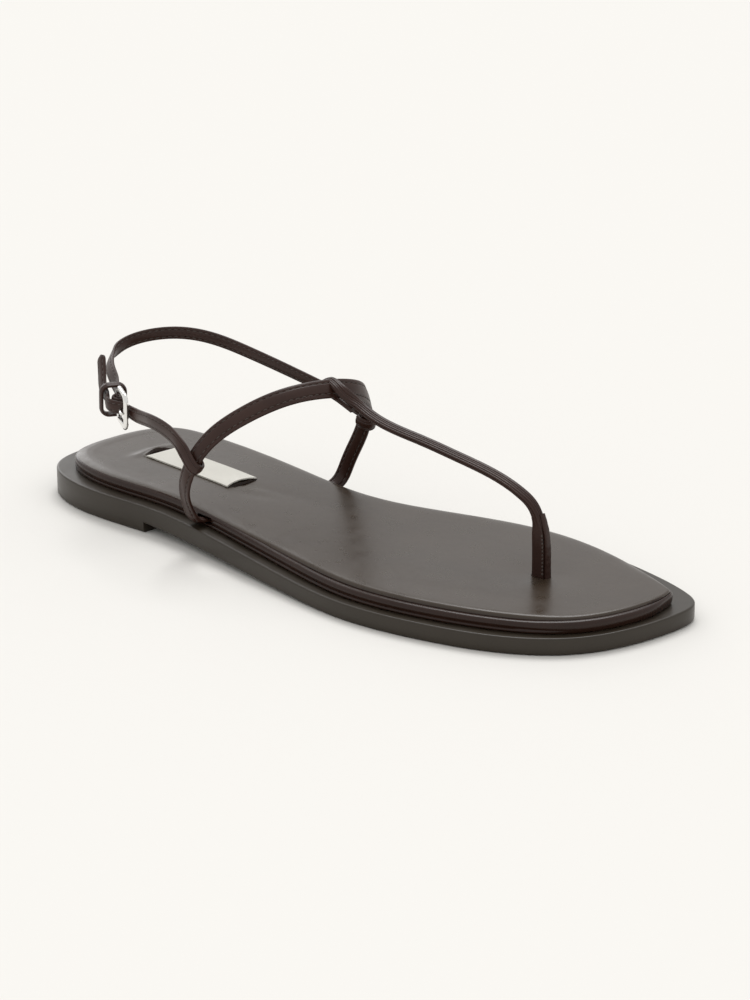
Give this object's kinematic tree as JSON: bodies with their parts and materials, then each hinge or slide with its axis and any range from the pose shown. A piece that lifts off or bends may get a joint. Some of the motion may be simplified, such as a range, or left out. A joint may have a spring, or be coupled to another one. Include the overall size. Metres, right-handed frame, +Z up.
{
  "type": "flat leather t-strap sandal",
  "caption": "Flat leather sandal for the right foot: padded footbed on a thin low-heeled sole, toe post, T-strap knotted round an instep strap and a buckled ankle strap",
  "frame": {"origin": "on the floor under the middle of the sandal's box", "axes": "+X points from the heel to the toe, +Y to the inner (medial) side of the right foot, +Z up"},
  "size_m": [0.2544, 0.0936, 0.061],
  "materials": {
    "sole_rubber": "smooth matte dark brown edge",
    "footbed_leather": "semi-gloss dark brown with soft reflections",
    "strap_leather": "semi-gloss espresso brown with stitched edges",
    "polished_metal": "polished silver",
    "label_cloth": "plain matte cream"
  },
  "bodies": {
    "root": {"outsole": "sole_rubber", "footbed": "footbed_leather", "upper": "strap_leather", "keeper_loop": "strap_leather", "buckle_frame": "polished_metal", "buckle_prong": "polished_metal", "footbed_label": "label_cloth"}
  },
  "joints": []
}
